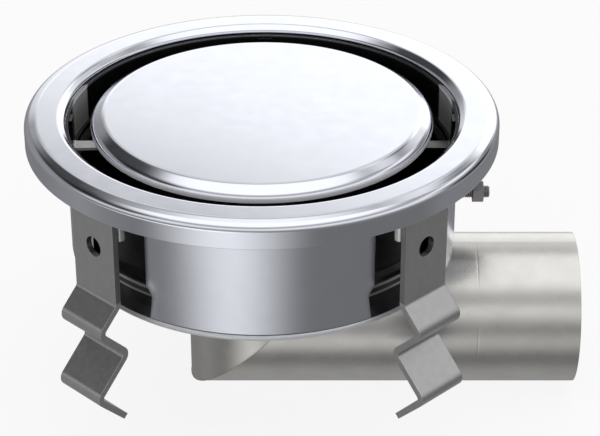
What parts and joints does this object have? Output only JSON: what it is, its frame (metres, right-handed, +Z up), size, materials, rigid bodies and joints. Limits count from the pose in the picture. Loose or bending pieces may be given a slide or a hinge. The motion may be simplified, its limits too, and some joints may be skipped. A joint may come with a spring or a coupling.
{
  "type": "floor drain",
  "caption": "Round floor drain: a cover over a ring-shaped inlet slot, a rolled rim, a bowl in a windowed body wall, cranked anchors, an earth stud and a horizontal pipe outlet.",
  "frame": {"origin": "bottom centre of the bounding box; the drain axis is at X = -0.0209 m and the floor level at Z = 0.1495 m", "axes": "+X along the outlet pipe, away from the body, +Z up towards the floor, +Y across the outlet"},
  "size_m": [0.2688, 0.227, 0.1495],
  "materials": {
    "polished_steel": "polished",
    "inner_steel": "satin",
    "strap_steel": "satin",
    "mill_steel": "matt mill finish",
    "satin_steel": "satin",
    "stud_steel": "satin",
    "earth_steel": "satin"
  },
  "bodies": {
    "root": {"rim": "polished_steel", "body_wall": "polished_steel", "bowl": "inner_steel", "outlet_stub": "satin_steel", "outlet_pipe": "satin_steel", "cover": "polished_steel", "cover_strap_right": "strap_steel", "cover_strap_back": "strap_steel", "cover_strap_left": "strap_steel", "cover_strap_front": "strap_steel", "anchor_back_right": "mill_steel", "rim_studs_back_right": "stud_steel", "anchor_back_left": "mill_steel", "rim_studs_back_left": "stud_steel", "anchor_front_left": "mill_steel", "rim_studs_front_left": "stud_steel", "anchor_front_right": "mill_steel", "rim_studs_front_right": "stud_steel", "earth_stud": "earth_steel", "earth_nut": "earth_steel"}
  },
  "joints": []
}
